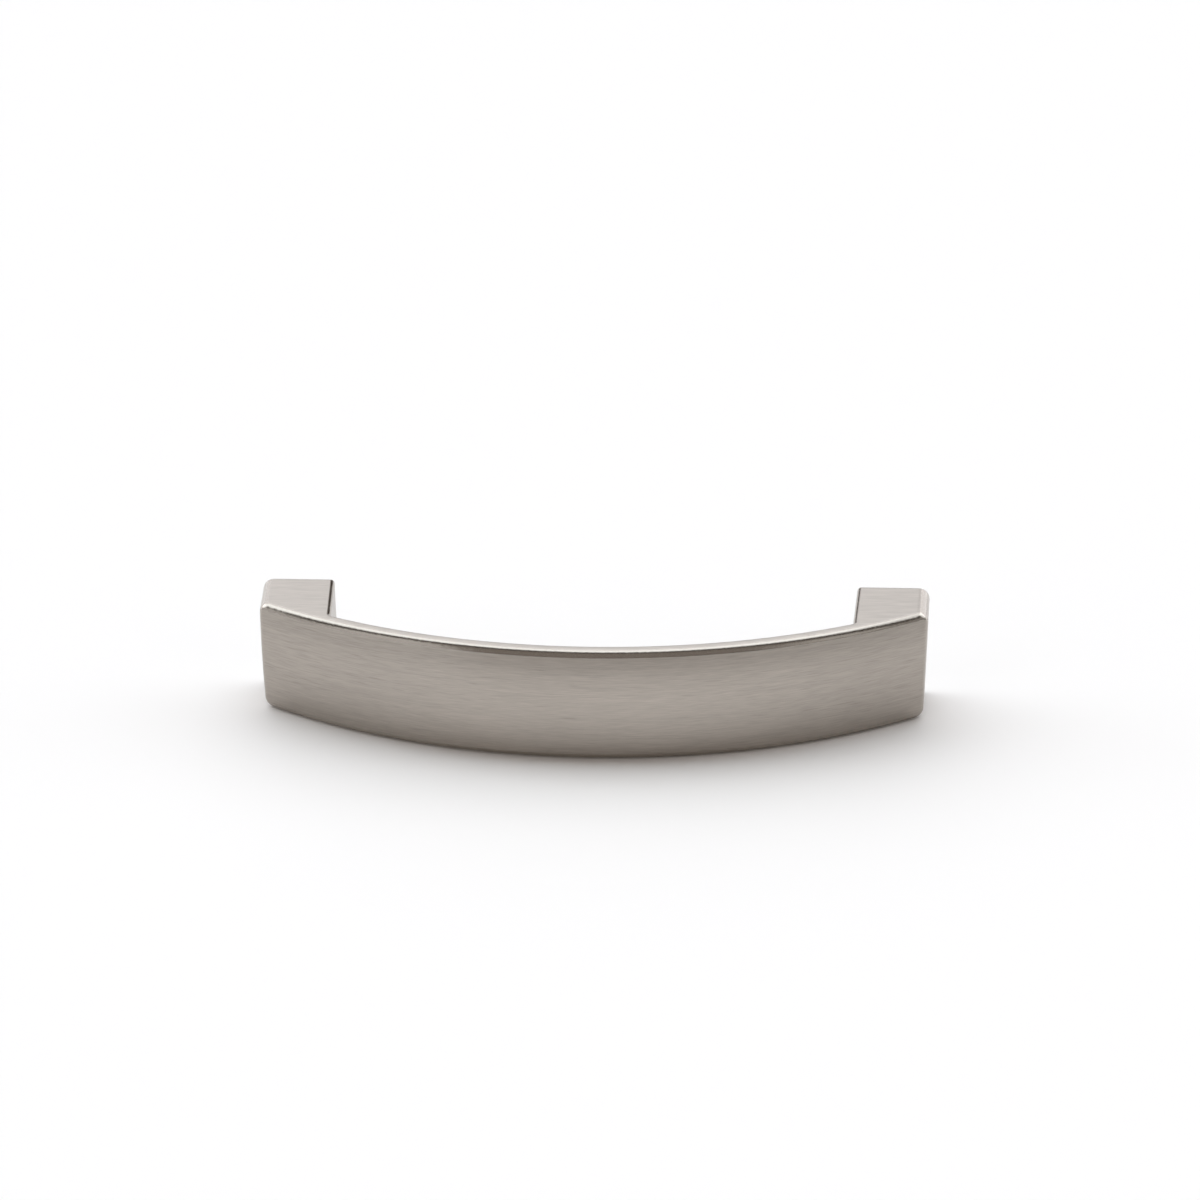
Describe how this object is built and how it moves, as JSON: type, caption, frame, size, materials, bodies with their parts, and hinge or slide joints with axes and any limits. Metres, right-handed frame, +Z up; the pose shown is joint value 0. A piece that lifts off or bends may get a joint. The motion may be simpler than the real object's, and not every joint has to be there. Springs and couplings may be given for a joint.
{
  "type": "cabinet pull",
  "caption": "Bow-shaped cabinet pull cast in one piece: a wide curved grip with a finger gap behind it and a flat screw foot at each end.",
  "frame": {"origin": "midway between the two screw holes, on the mounting plane", "axes": "+X along the pull, +Y out of the screw holes into the door or drawer front, +Z up across the height of the grip; the bowed face looks toward -Y"},
  "size_m": [0.1074, 0.0273, 0.0186],
  "materials": {
    "pull": "satin brushed nickel plate over cast zinc alloy"
  },
  "bodies": {
    "root": {"pull": "pull"}
  },
  "joints": []
}
